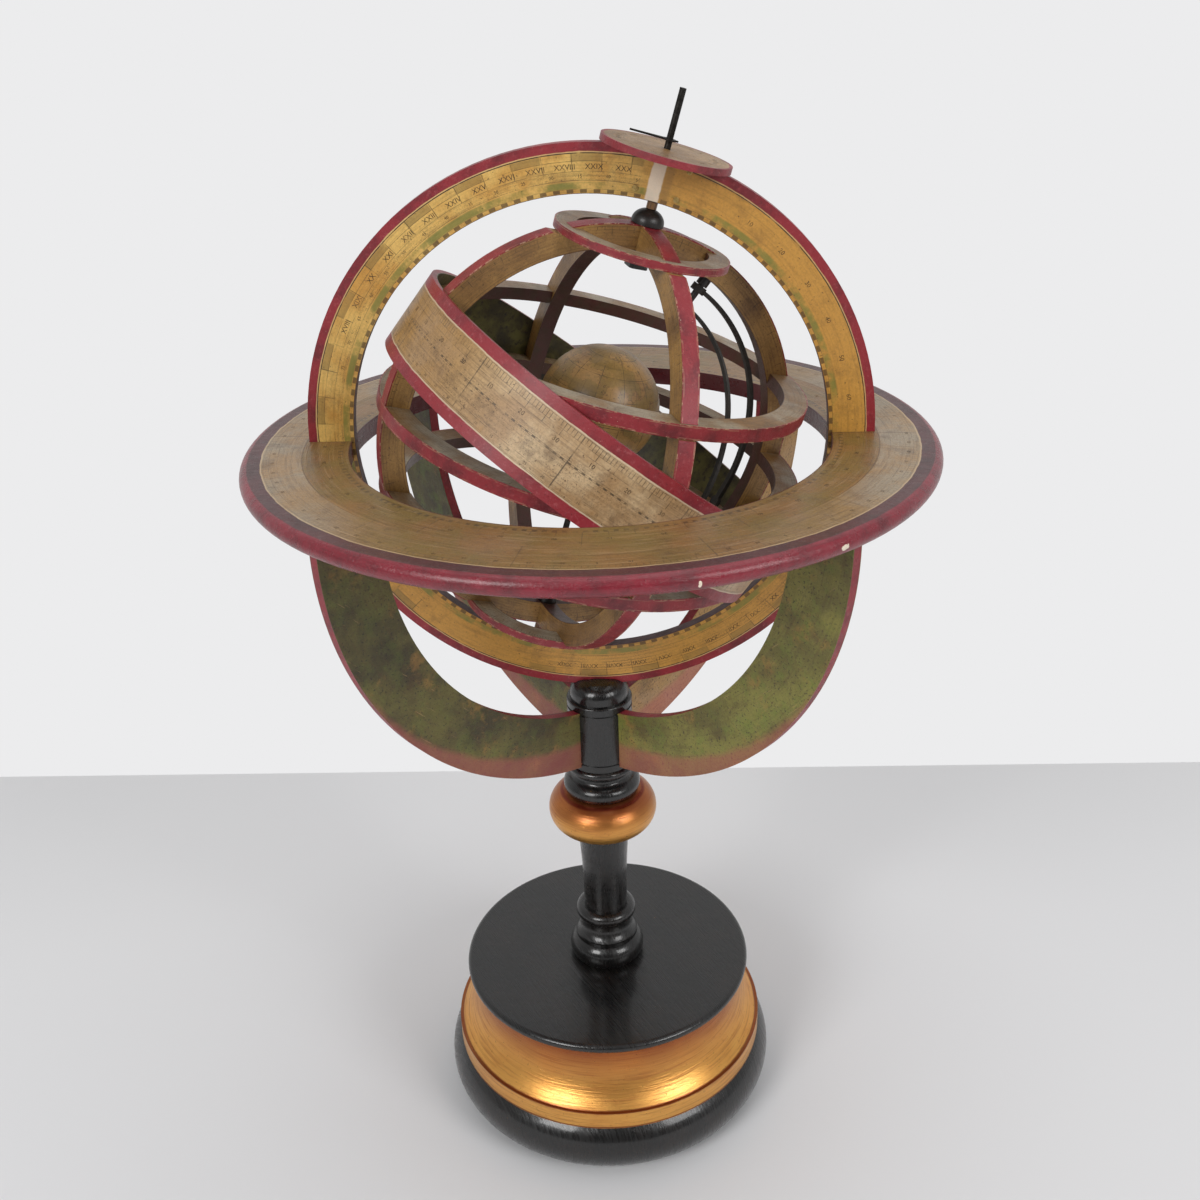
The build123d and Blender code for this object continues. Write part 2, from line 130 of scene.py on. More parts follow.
class Finish:
    """One finish: a shader with the sums and patterns that feed it. Lengths are in millimetres."""

    def __init__(self, name, metallic=0.0, coat=0.0, coat_roughness=0.1):
        self.material = bpy.data.materials.new(name)
        self.material.use_nodes = True
        self.tree = self.material.node_tree
        self.shader = self.tree.nodes["Principled BSDF"]
        self.shader.inputs["Metallic"].default_value = metallic
        self.shader.inputs["Coat Weight"].default_value = coat
        self.shader.inputs["Coat Roughness"].default_value = coat_roughness
        self.place = self.add("ShaderNodeTexCoord").outputs["Object"]

    def add(self, kind, **settings):
        node = self.tree.nodes.new(kind)
        for key, value in settings.items():
            setattr(node, key, value)
        return node

    def give(self, socket, value):
        if isinstance(value, bpy.types.NodeSocket):
            self.tree.links.new(value, socket)
        else:
            socket.default_value = value

    def sum(self, operation, *values):
        node = self.add("ShaderNodeMath", operation=operation)
        for socket, value in zip(node.inputs, values):
            self.give(socket, value)
        return node.outputs[0]

    def times(self, *values):
        product = values[0]
        for value in values[1:]:
            product = self.sum("MULTIPLY", product, value)
        return product

    def either(self, *masks):
        """The strongest of several masks."""
        strongest = masks[0]
        for mask in masks[1:]:
            strongest = self.sum("MAXIMUM", strongest, mask)
        return strongest

    def rise(self, value, low, high):
        """0 at low, 1 at high, smooth between."""
        node = self.add("ShaderNodeMapRange", interpolation_type="SMOOTHSTEP")
        for name, part in (("Value", value), ("From Min", low), ("From Max", high)):
            self.give(node.inputs[name], part)
        return node.outputs[0]

    def within(self, value, low, high, soft=0.12):
        """1 between low and high, 0 outside."""
        past_low = self.rise(value, low - soft, low + soft)
        short_of_high = self.rise(value, high + soft, high - soft)
        return self.times(past_low, short_of_high)

    def away(self, value, middle):
        """How far a value is from a middle one."""
        return self.sum("ABSOLUTE", self.sum("SUBTRACT", value, middle))

    def mix(self, factor, first, second):
        """The first colour at 0, the second at 1."""
        node = self.add("ShaderNodeMix", data_type="RGBA")
        self.give(node.inputs[0], factor)
        self.give(node.inputs[6], first)
        self.give(node.inputs[7], second)
        return node.outputs[2]

    def vector(self, x, y, z):
        node = self.add("ShaderNodeCombineXYZ")
        for socket, value in zip(node.inputs, (x, y, z)):
            self.give(socket, value)
        return node.outputs[0]

    def noise(self, vector, size, detail=3.0, rough=0.55):
        """Cloudy pattern whose blots are about size across."""
        node = self.add("ShaderNodeTexNoise")
        self.give(node.inputs["Vector"], vector)
        self.give(node.inputs["Scale"], 1.0 / size)
        self.give(node.inputs["Detail"], detail)
        self.give(node.inputs["Roughness"], rough)
        return node.outputs["Fac"]

    def wander(self, value, vector, size, amount):
        """A value that strays a little from place to place, for edges drawn by hand."""
        stray = self.sum("SUBTRACT", self.noise(vector, size), 0.5)
        return self.sum("ADD", value, self.times(stray, 2 * amount))

    def bump(self, height, depth):
        """Relief of the given depth on the shader."""
        node = self.add("ShaderNodeBump")
        self.give(node.inputs["Height"], height)
        node.inputs["Distance"].default_value = depth * MM
        self.tree.links.new(node.outputs[0], self.shader.inputs["Normal"])

    def show(self, colour, roughness):
        self.give(self.shader.inputs["Base Color"], colour)
        self.give(self.shader.inputs["Roughness"], roughness)
        return self.material


class RingPlace:
    """A finish's place in a ring's own frame: distance from the axis, turn and height."""

    def __init__(self, finish, origin, axis, start):
        side = axis.cross(start).normalized()
        turned = Matrix((side.cross(axis), side, axis)).transposed()
        mapping = finish.add("ShaderNodeMapping", vector_type="TEXTURE")
        finish.give(mapping.inputs["Vector"], finish.place)
        mapping.inputs["Location"].default_value = origin
        mapping.inputs["Rotation"].default_value = turned.to_euler()
        mapping.inputs["Scale"].default_value = (MM, MM, MM)
        self.vector = mapping.outputs[0]
        split = finish.add("ShaderNodeSeparateXYZ")
        finish.give(split.inputs[0], self.vector)
        self.x, self.y, self.z = split.outputs
        square = finish.sum("ADD", finish.times(self.x, self.x), finish.times(self.y, self.y))
        self.radius = finish.sum("SQRT", square)
        self.turn = finish.sum("ARCTAN2", self.y, self.x)
        self.above = finish.sum("ABSOLUTE", self.z)


# Things that several finishes share

def cells(finish, turn, count, shift=0.0):
    """Place inside each of count equal cells round the ring, from 0 to 1."""
    passed = finish.times(turn, count / (2 * pi))
    return finish.sum("FRACT", finish.sum("ADD", passed, shift + count))


def strokes(finish, at, radius, count, thick, shift=0.0):
    """Thin marks across the ring, count of them all round, each thick millimetres wide."""
    cell = cells(finish, at.turn, count, shift + 0.5)
    off = finish.away(cell, 0.5)
    half = thick / 2 * count / (2 * pi * radius)
    return finish.rise(off, half * 1.6, half * 0.6)


def blocks(finish, at, count, shift=0.0):
    """Every second cell round the ring."""
    cell = cells(finish, at.turn, count / 2, shift)
    return finish.times(finish.rise(cell, 0.0, 0.03), finish.rise(cell, 0.53, 0.5))


def ruled(finish, across, rows, thick, soft=0.08):
    """Thin printed lines along the ring, one at each row."""
    return finish.either(*[finish.within(across, row, row + thick, soft) for row in rows])


def brushing(finish, at, across, fine, long):
    """Streaks that run round the ring, fine millimetres apart and long millimetres in length."""
    stretched = ((across, fine), (at.x, long), (at.y, long))
    vector = finish.vector(*[finish.sum("DIVIDE", place, size) for place, size in stretched])
    return finish.noise(vector, 1.0, detail=5.0, rough=0.6)


def small_print(finish, at, across, radius, pitch):
    """Dense rows of tiny worn marks, too small to be read."""
    vector = finish.vector(
        finish.times(at.turn, radius / pitch * 2.2), finish.sum("DIVIDE", across, pitch), 0.0
    )
    letters = finish.rise(finish.noise(vector, 0.5, detail=2.0, rough=0.7), 0.5, 0.6)
    row = finish.sum("FRACT", finish.sum("DIVIDE", across, pitch))
    return finish.times(letters, finish.within(row, 0.2, 0.8, 0.1))


def spot(finish, at, across, turn, height, long, wide):
    """A ragged patch on a ring, at a turn in radians and a place across it."""
    away = finish.sum("SUBTRACT", at.turn, turn)
    along = finish.sum("DIVIDE", finish.times(away, at.radius), long)
    beside = finish.sum("DIVIDE", finish.sum("SUBTRACT", across, height), wide)
    square = finish.sum("ADD", finish.times(along, along), finish.times(beside, beside))
    span = finish.sum("SQRT", square)
    ragged = finish.wander(span, at.vector, min(long, wide) * 0.7, 0.55)
    return finish.rise(ragged, 0.56, 0.5)


def aged_paper(finish, at, across, pale, warm, soil=0.5):
    """Varnished old paper: broad toning, blots, brushed dirt, fine grain and small spots."""
    vector = at.vector
    toning = finish.rise(finish.noise(vector, 30.0, 5.0, 0.6), 0.38, 0.62)
    colour = finish.mix(toning, pale, warm)
    blots = finish.rise(finish.noise(vector, 13.0, 6.0, 0.7), 0.5, 0.72)
    colour = finish.mix(finish.times(blots, soil), colour, DIRT)
    brushed = finish.rise(brushing(finish, at, across, 1.2, 24.0), 0.46, 0.7)
    colour = finish.mix(finish.times(brushed, 0.7 * soil), colour, DIRT)
    grain = finish.rise(finish.noise(vector, 1.1, 4.0, 0.75), 0.42, 0.66)
    colour = finish.mix(finish.times(grain, 0.5 * soil), colour, DIRT)
    spots = finish.rise(finish.noise(vector, 1.5, 2.0), 0.67, 0.72)
    return finish.mix(finish.times(spots, 0.75), colour, DIRT)


def inked(finish, vector, colour, marks, strength=0.8):
    """Printed marks, rubbed away in places."""
    left = finish.rise(finish.noise(vector, 8.0, 4.0, 0.7), 0.32, 0.58)
    return finish.mix(finish.times(marks, left, strength), colour, INK)


def rubbed_red(finish, vector, paint=RED_PAINT, dark=RED_DARK, rubbed=RED_RUBBED, chips=0.735):
    """Old red paint: darker where it lies thick, paler where it is rubbed, pitted and chipped."""
    thick = finish.rise(finish.noise(vector, 16.0, 5.0, 0.65), 0.4, 0.7)
    colour = finish.mix(finish.times(thick, 0.75), paint, dark)
    scuffs = finish.rise(finish.noise(vector, 2.6, 6.0, 0.75), 0.52, 0.68)
    colour = finish.mix(finish.times(scuffs, 0.45), colour, rubbed)
    pits = finish.rise(finish.noise(vector, 1.2, 3.0, 0.6), 0.62, 0.68)
    colour = finish.mix(finish.times(pits, 0.5), colour, RED_DARK)
    bare = finish.rise(finish.noise(vector, 1.7, 3.0, 0.6), chips, chips + 0.012)
    return finish.mix(finish.times(bare, 0.8), colour, BARE_CARD)


def satin(finish, vector, dull):
    """Uneven varnish around a roughness."""
    return finish.sum("ADD", finish.times(finish.noise(vector, 5.0, 4.0), 0.3), dull - 0.15)


def dress(node, material):
    """Puts one finish on a CAD node."""
    slots = nodes[node].data.materials
    slots.clear()
    slots.append(material)


# Meridian ring: red border, black line, graduated bands, green band, degree blocks

meridian_in, meridian_out = radii("meridian_ring", front, centre)
meridian_face = reach("meridian_ring", front, centre)[1]
POLE_SCAR_WIDTH = 6.0
SCALE_MIDDLE = 1.35
SCALE_HALF = 1.28
LOWER_SCALE_START = -1.9


def meridian_finish():
    finish = Finish("meridian_paper", coat=0.2, coat_roughness=0.3)
    at = RingPlace(finish, centre, front, polar)
    r = at.radius
    plain = finish.rise(finish.away(at.turn, 1.1), 0.9, 1.25)
    ground = finish.mix(plain, PAPER_YELLOW, PAPER_AMBER)
    paper = aged_paper(finish, at, r, ground, PAPER_AMBER, 0.36)
    graduated = finish.rise(finish.away(at.turn, SCALE_MIDDLE), SCALE_HALF + 0.01, SCALE_HALF)
    lower = finish.rise(at.turn, LOWER_SCALE_START, LOWER_SCALE_START - 0.02)
    printed = finish.either(graduated, lower)
    green = finish.within(r, meridian_in + 2.1, meridian_in + 5.0, 0.4)
    green_left = finish.rise(finish.noise(at.vector, 15.0, 5.0, 0.65), 0.36, 0.56)
    paper = finish.mix(finish.times(green, green_left, 0.75), paper, PAPER_GREEN)
    tinted = finish.within(r, meridian_out - 8.2, meridian_out - 5.0)
    tint_left = finish.noise(at.vector, 22.0, 3.0)
    tint = finish.times(tinted, blocks(finish, at, 60), printed, tint_left)
    paper = finish.mix(tint, paper, PAPER_OLIVE)
    lines = ruled(finish, r, [meridian_out - row for row in (8.2, 12.6, 16.4)], 0.2, 0.09)
    edge = finish.within(r, meridian_out - 4.9, meridian_out - 4.45, 0.1)
    inner_line = finish.within(r, meridian_in + 1.9, meridian_in + 2.1, 0.09)
    degree_row = finish.within(r, meridian_in + 0.35, meridian_in + 1.9, 0.1)
    degree = finish.times(blocks(finish, at, 240), degree_row)
    hour_row = finish.within(r, meridian_out - 12.6, meridian_out - 4.9)
    dividers = finish.times(strokes(finish, at, meridian_out, 60, 0.3), hour_row)
    print_row = finish.within(r, meridian_out - 16.2, meridian_out - 12.8)
    dense = finish.times(small_print(finish, at, r, 120.0, 1.5), print_row)
    lower_row = finish.within(r, meridian_out - 12.4, meridian_out - 8.4)
    lower_print = finish.times(small_print(finish, at, r, 128.0, 1.6), lower_row, lower)
    rows = finish.either(lines, dividers, finish.times(dense, 0.6), lower_print)
    marks = finish.either(finish.times(rows, printed), finish.times(inner_line, 0.8))
    paper = inked(finish, at.vector, paper, marks, 0.75)
    paper = finish.mix(finish.times(degree, 0.7), paper, INK)
    scar = finish.wander(finish.times(at.turn, r), at.vector, 5.0, 0.8)
    half_scar = POLE_SCAR_WIDTH / 2
    scar = finish.within(finish.sum("SUBTRACT", scar, 1.2), -half_scar, half_scar, 0.35)
    # Painted shade: a brown strip along one side of the bare patch where the axis rod meets the ring.
    shade = finish.within(finish.times(at.turn, r), -6.0, -1.6, 1.4)
    paper = finish.mix(finish.times(shade, 0.5), paper, PAPER_BROWN)
    paper = finish.mix(finish.times(scar, 0.85), paper, BARE_CARD)
    edge_strength = finish.rise(finish.noise(at.vector, 6.0, 3.0), 0.2, 0.5)
    paper = finish.mix(finish.times(edge, edge_strength), paper, INK)
    strayed = finish.wander(r, at.vector, 7.0, 0.35)
    border = finish.rise(strayed, meridian_out - 4.1, meridian_out - 3.8)
    hem = finish.within(strayed, meridian_out - 4.4, meridian_out - 3.9, 0.12)
    colour = finish.mix(finish.times(hem, 0.5), paper, PAPER_PALE)
    colour = finish.mix(border, colour, rubbed_red(finish, at.vector))
    inside = finish.rise(r, meridian_in + 0.35, meridian_in + 0.1)
    inner_edge = finish.mix(finish.noise(at.vector, 5.0), RED_DARK, BLACK_BROWN)
    colour = finish.mix(inside, colour, inner_edge)
    finish.bump(finish.noise(at.vector, 2.5, 6.0, 0.7), 0.3)
    return finish.show(colour, satin(finish, at.vector, 0.45))


# Horizon ring: paper with scale rows, dark outer band, glossy crimson nosing

horizon_in = radii("horizon_ring", up, centre)[0]
horizon_high = reach("horizon_ring", up, centre)[1]


def horizon_finish():
    finish = Finish("horizon_paper", coat=0.35, coat_roughness=0.22)
    at = RingPlace(finish, centre, up, right)
    r = at.radius
    paper = aged_paper(finish, at, r, PAPER_BROWN, PAPER_OLIVE, 0.42)
    rubbed = finish.rise(brushing(finish, at, r, 1.8, 30.0), 0.5, 0.72)
    paper = finish.mix(finish.times(rubbed, 0.45), paper, PAPER_TAN)
    ends = finish.rise(finish.sum("ABSOLUTE", at.x), 62.0, 138.0)
    outer_sheet = finish.rise(finish.wander(r, at.vector, 20.0, 0.6), 136.3, 136.7)
    worn_ends = aged_paper(finish, at, r, PAPER_GREY, PAPER_TAN, 0.5)
    paper = finish.mix(finish.times(outer_sheet, ends, 0.8), paper, worn_ends)
    paper = finish.mix(finish.times(finish.within(r, 135.9, 136.4, 0.2), ends, 0.5), paper, DIRT)
    rows = (117.4, 119.4, 123.8, 128.6, 134.2, 141.0, 147.4, 151.2, 153.6)
    lines = ruled(finish, r, rows, 0.18, 0.09)
    degree = finish.times(blocks(finish, at, 360), finish.within(r, 117.5, 119.4, 0.1))
    fives = finish.times(strokes(finish, at, 122, 72, 0.28), finish.within(r, 119.4, 123.8))
    signs = finish.times(strokes(finish, at, 130, 12, 0.4), finish.within(r, 119.4, 134.2))
    days = finish.times(strokes(finish, at, 152, 365, 0.22), finish.within(r, 151.2, 153.6))
    months = finish.times(strokes(finish, at, 145, 12, 0.4, 0.33), finish.within(r, 134.2, 153.6))
    dense = finish.times(
        small_print(finish, at, r, 140.0, 1.7),
        finish.either(finish.within(r, 129.0, 133.8), finish.within(r, 141.6, 147.0)), 0.6,
    )
    marks = finish.either(lines, degree, fives, signs, days, months, dense)
    paper = inked(finish, at.vector, paper, marks, 0.55)
    joints_cut = finish.times(strokes(finish, at, 140, 2, 0.5, 0.012), finish.rise(r, 113.0, 114.0))
    paper = finish.mix(finish.times(joints_cut, 0.6), paper, DIRT)
    strayed = finish.wander(r, at.vector, 12.0, 0.7)
    band = finish.rise(strayed, 154.9, 155.3)
    band_paint = rubbed_red(finish, at.vector, PURPLE_BAND, PURPLE_DARK, PURPLE_RUBBED, 0.76)
    hem = finish.within(strayed, 154.4, 155.1, 0.15)
    colour = finish.mix(finish.times(hem, 0.55), paper, PAPER_PALE)
    colour = finish.mix(band, colour, band_paint)
    below = finish.rise(at.z, -0.6, -1.0)
    nosing = finish.either(finish.rise(finish.wander(r, at.vector, 9.0, 0.4), 160.9, 161.5), below)
    crimson = rubbed_red(finish, at.vector, CRIMSON, RED_DARK, CRIMSON_RUBBED, 0.76)
    streak = finish.rise(brushing(finish, at, at.z, 0.9, 18.0), 0.5, 0.7)
    crimson = finish.mix(finish.times(streak, 0.35), crimson, RED_DARK)
    colour = finish.mix(nosing, colour, crimson)
    flakes = finish.either(
        spot(finish, at, at.z, radians(-51), -4.6, 4.0, 2.2),
        spot(finish, at, at.z, radians(-74), -5.2, 1.2, 3.0),
        spot(finish, at, at.z, radians(-158), -7.0, 3.4, 2.0),
    )
    colour = finish.mix(finish.times(flakes, nosing), colour, BARE_CARD)
    inner_rim = finish.rise(r, horizon_in + 0.45, horizon_in + 0.2)
    inner_edge = finish.mix(finish.noise(at.vector, 6.0), RED_DARK, PURPLE_BAND)
    colour = finish.mix(inner_rim, colour, inner_edge)
    relief = finish.sum("ADD", finish.noise(at.vector, 4.0, 6.0, 0.7), finish.times(rubbed, 0.3))
    finish.bump(relief, 0.5)
    rough = finish.sum("SUBTRACT", satin(finish, at.vector, 0.42), finish.times(nosing, 0.12))
    return finish.show(colour, rough)


# Rings of the sphere: tan printed faces, red rims

def circle_finish(name, node, axis, start, pale, warm):
    """Finish of one flat ring, which lies square to an axis."""
    low, high = reach(node, axis, centre)
    origin = centre + axis * ((low + high) / 2 * MM)
    inner, outer = radii(node, axis, origin)
    half = (high - low) / 2
    finish = Finish(name, coat=0.2, coat_roughness=0.3)
    at = RingPlace(finish, origin, axis, start)
    r = at.radius
    paper = aged_paper(finish, at, r, pale, warm, 0.55)
    lines = ruled(finish, r, (outer - 1.5, outer - 3.0, inner + 1.3), 0.18)
    tick_row = finish.within(r, outer - 3.0, outer - 1.4)
    ticks = finish.times(strokes(finish, at, outer, 180, 0.28), tick_row)
    tens_row = finish.within(r, outer - 5.2, outer - 1.4)
    tens = finish.times(strokes(finish, at, outer, 36, 0.32), tens_row)
    print_row = finish.within(r, inner + 1.8, outer - 4.0)
    dense = finish.times(small_print(finish, at, r, outer, 1.5), print_row, 0.6)
    paper = inked(finish, at.vector, paper, finish.either(lines, ticks, tens, dense), 0.7)
    strayed = finish.wander(r, at.vector, 5.0, 0.3)
    outside = finish.rise(strayed, outer - 0.7, outer - 0.45)
    inside = finish.rise(r, inner + 0.3, inner + 0.1)
    red = rubbed_red(finish, at.vector)
    pale_line = finish.within(at.above, half - 0.75, half - 0.45, 0.12)
    line_left = finish.rise(finish.noise(at.vector, 9.0, 4.0, 0.7), 0.45, 0.6)
    red = finish.mix(finish.times(pale_line, line_left, 0.35), red, PAPER_PALE)
    colour = finish.mix(outside, paper, red)
    inner_edge = finish.mix(finish.noise(at.vector, 5.0), RED_DARK, OLIVE_DARK)
    colour = finish.mix(inside, colour, inner_edge)
    by_face = finish.rise(at.above, half - 0.45, half)
    corner = finish.times(by_face, finish.rise(r, outer - 0.7, outer - 0.1))
    bare = finish.times(corner, finish.rise(finish.noise(at.vector, 2.4, 4.0, 0.7), 0.52, 0.58))
    colour = finish.mix(finish.times(bare, 0.7), colour, PAPER_PALE)
    finish.bump(finish.noise(at.vector, 2.2, 6.0, 0.75), 0.35)
    return finish.show(colour, satin(finish, at.vector, 0.45))


# Zodiac band: pale printed outside between red borders, dark olive inside

zodiac_in, zodiac_out = radii("zodiac_band", ecliptic, centre)
zodiac_half = reach("zodiac_band", ecliptic, centre)[1]


def zodiac_finish():
    finish = Finish("zodiac_paper", coat=0.2, coat_roughness=0.3)
    at = RingPlace(finish, centre, ecliptic, solstice)
    h = at.z
    far_end = finish.rise(finish.sum("ABSOLUTE", at.turn), 2.2, 2.9)
    ground = finish.mix(far_end, PAPER_PALE, PAPER_OCHRE)
    paper = aged_paper(finish, at, h, ground, PAPER_TAN, 0.5)
    lines = ruled(finish, h, (-13.1, -12.5, -9.4, -0.5, 0.2, 6.8, 9.6, 12.6), 0.16)
    degree = finish.times(strokes(finish, at, zodiac_out, 360, 0.26), finish.within(h, 9.6, 12.6))
    fives = finish.times(strokes(finish, at, zodiac_out, 72, 0.28), finish.within(h, 6.8, 9.6))
    signs = finish.times(strokes(finish, at, zodiac_out, 12, 0.5), finish.within(h, -13.1, 12.6))
    minutes = finish.times(blocks(finish, at, 360), finish.within(h, -0.4, 0.3, 0.08))
    print_rows = [finish.within(h, *ends) for ends in ((-9.2, -5.2), (-4.6, -0.8), (0.8, 2.6))]
    dense = finish.times(small_print(finish, at, h, zodiac_out, 1.8), finish.either(*print_rows))
    marks = finish.either(lines, degree, fives, signs, minutes, finish.times(dense, 0.75))
    paper = inked(finish, at.vector, paper, marks, 0.75)
    stain = finish.rise(finish.noise(at.vector, 20.0, 3.0), 0.6, 0.66)
    paper = finish.mix(finish.times(stain, 0.35), paper, OCHRE_STAIN)
    strayed = finish.wander(at.above, at.vector, 8.0, 0.45)
    border = finish.rise(strayed, zodiac_half - 5.3, zodiac_half - 5.05)
    hem = finish.within(strayed, zodiac_half - 5.8, zodiac_half - 5.2, 0.12)
    outer_face = finish.mix(finish.times(hem, 0.4), paper, BARE_CARD)
    red = rubbed_red(finish, at.vector, RED_PAINT, ZODIAC_RED_DARK, ZODIAC_RED_RUBBED)
    outer_face = finish.mix(border, outer_face, red)
    clouds = finish.rise(finish.noise(at.vector, 14.0, 5.0, 0.6), 0.4, 0.65)
    lining = finish.mix(clouds, OLIVE_DARK, OLIVE)
    blots = finish.rise(finish.noise(at.vector, 3.0, 5.0, 0.7), 0.5, 0.7)
    lining = finish.mix(blots, lining, BLACK_BROWN)
    inner_face = finish.rise(at.radius, zodiac_in + 0.45, zodiac_in + 0.25)
    colour = finish.mix(inner_face, outer_face, lining)
    finish.bump(finish.noise(at.vector, 2.2, 6.0, 0.75), 0.35)
    return finish.show(colour, satin(finish, at.vector, 0.45))


# Arms: mottled olive paper on the faces, red on the curved edges

RUBBED_EDGE = (163.0, 168.0)


def support_arm_finish(name, node, pale, warm, green_share):
    low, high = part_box(node)
    outward = Vector(((low.x + high.x) / 2, (low.y + high.y) / 2, 0)).normalized()
    across = outward.cross(up)
    half = reach(node, across, centre)[1]
    finish = Finish(name, coat=0.15, coat_roughness=0.35)
    at = RingPlace(finish, centre, across, up)
    r = at.radius
    paper = aged_paper(finish, at, r, pale, warm, 0.5)
    clouds = finish.rise(finish.noise(at.vector, 11.0, 6.0, 0.7), 0.48, 0.66)
    paper = finish.mix(finish.times(clouds, green_share), paper, LEAF_GREEN)
    warmth = finish.rise(finish.noise(at.vector, 17.0, 6.0, 0.72), 0.55, 0.7)
    paper = finish.mix(finish.times(warmth, 0.4), paper, OCHRE_STAIN)
    specks = finish.rise(finish.noise(at.vector, 1.3, 3.0, 0.6), 0.58, 0.66)
    paper = finish.mix(finish.times(specks, 0.7), paper, BLACK_BROWN)
    slant = finish.times(finish.sum("ADD", at.x, at.y), 0.9)
    scratches = finish.vector(finish.times(at.x, 0.12), slant, at.z)
    scratch = finish.rise(finish.noise(scratches, 1.0, 3.0), 0.7, 0.72)
    paper = finish.mix(finish.times(scratch, 0.5), paper, PAPER_TAN)
    outer_edge = finish.rise(finish.wander(r, at.vector, 10.0, 1.5), *RUBBED_EDGE)
    paper = finish.mix(finish.times(outer_edge, 0.5), paper, RED_RUBBED)
    edge = finish.rise(finish.wander(at.above, at.vector, 3.0, 0.1), half - 0.15, half - 0.35)
    colour = finish.mix(edge, paper, rubbed_red(finish, at.vector))
    finish.bump(finish.noise(at.vector, 2.0, 6.0, 0.75), 0.4)
    return finish.show(colour, satin(finish, at.vector, 0.5))


# Globe: paper gores with a net of lines and faint blots of land

def globe_finish():
    low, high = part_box("earth_globe")
    radius = half_width("earth_globe")
    finish = Finish("globe_paper", coat=0.3, coat_roughness=0.25)
    at = RingPlace(finish, (low + high) / 2, polar, solstice)
    paper = aged_paper(finish, at, at.z, PAPER_OCHRE, PAPER_BROWN, 0.4)
    land = finish.noise(at.vector, 13.0, 6.0, 0.6)
    shore = finish.within(land, 0.5, 0.51, 0.005)
    paper = finish.mix(finish.times(finish.rise(land, 0.5, 0.52), 0.3), paper, OLIVE)
    degrees = finish.times(finish.sum("ARCSINE", finish.sum("DIVIDE", at.z, radius)), 180 / pi)
    circles = (-66.5, -45, -23.5, -1.0, 1.0, 23.5, 45, 66.5)
    parallels = ruled(finish, degrees, [circle - 0.3 for circle in circles], 0.6, 0.2)
    gores = strokes(finish, at, radius, 12, 0.4)
    half_gores = finish.times(strokes(finish, at, radius, 24, 0.25), 0.6)
    net = finish.either(parallels, gores, half_gores, shore)
    colour = inked(finish, at.vector, paper, net, 0.75)
    finish.bump(finish.noise(at.vector, 2.2, 6.0, 0.7), 0.25)
    return finish.show(colour, satin(finish, at.vector, 0.4))


# Hour circle: twice twelve hours on a small paper disc

hour_high = reach("hour_circle", polar, centre)[1]
hour_out = radii("hour_circle", polar, centre)[1]


def hour_finish():
    finish = Finish("hour_paper", coat=0.2, coat_roughness=0.3)
    at = RingPlace(finish, centre, polar, solstice)
    r = at.radius
    paper = aged_paper(finish, at, r, PAPER_TAN, PAPER_BROWN, 0.55)
    lines = ruled(finish, r, (12.0, 19.5, 24.8, 26.6), 0.2)
    hours = finish.times(strokes(finish, at, hour_out, 24, 0.35), finish.within(r, 12.0, 26.6))
    quarters = finish.times(strokes(finish, at, hour_out, 96, 0.25), finish.within(r, 24.8, 26.6))
    paper = inked(finish, at.vector, paper, finish.either(lines, hours, quarters), 0.7)
    rim = finish.rise(finish.wander(r, at.vector, 6.0, 0.7), hour_out - 1.7, hour_out - 1.3)
    side = finish.rise(at.z, hour_high - 0.15, hour_high - 0.5)
    colour = finish.mix(finish.either(rim, side), paper, rubbed_red(finish, at.vector))
    finish.bump(finish.noise(at.vector, 2.0, 6.0, 0.75), 0.45)
    return finish.show(colour, satin(finish, at.vector, 0.45))


# Stand: black lacquer and burnished gilding

def lacquer_finish():
    finish = Finish("black_lacquer", coat=0.5, coat_roughness=0.12)
    at = RingPlace(finish, foot_middle, up, right)
    clouds = finish.rise(finish.noise(at.vector, 22.0, 5.0, 0.65), 0.4, 0.7)
    colour = finish.mix(finish.times(clouds, 0.5), BLACK, BLACK_BROWN)
    across_hairs = finish.sum("ADD", at.x, finish.times(at.y, 0.6))
    along_hairs = finish.sum("SUBTRACT", at.y, finish.times(at.x, 0.6))
    slant = finish.vector(
        finish.times(across_hairs, 0.8), finish.times(along_hairs, 0.03), finish.times(at.z, 0.1)
    )
    brush_streaks_and_sheen = finish.noise(slant, 1.0, 5.0, 0.65)
    # Painted reflection: grey-green sheen streaks laid into the black along the brush streaks, which also
    # roughen and raise the lacquer.
    colour = finish.mix(finish.times(finish.rise(brush_streaks_and_sheen, 0.56, 0.75), 0.35), colour, PAINTED_SHEEN_GREY)
    nicks = finish.rise(finish.noise(at.vector, 2.4, 3.0, 0.6), 0.745, 0.755)
    colour = finish.mix(finish.times(nicks, 0.6), colour, PAPER_BROWN)
    relief = finish.sum("ADD", finish.noise(at.vector, 7.0, 4.0), finish.times(brush_streaks_and_sheen, 0.8))
    finish.bump(relief, 0.22)
    rough = finish.sum("ADD", finish.times(finish.rise(brush_streaks_and_sheen, 0.35, 0.75), 0.25), 0.22)
    return finish.show(colour, rough)


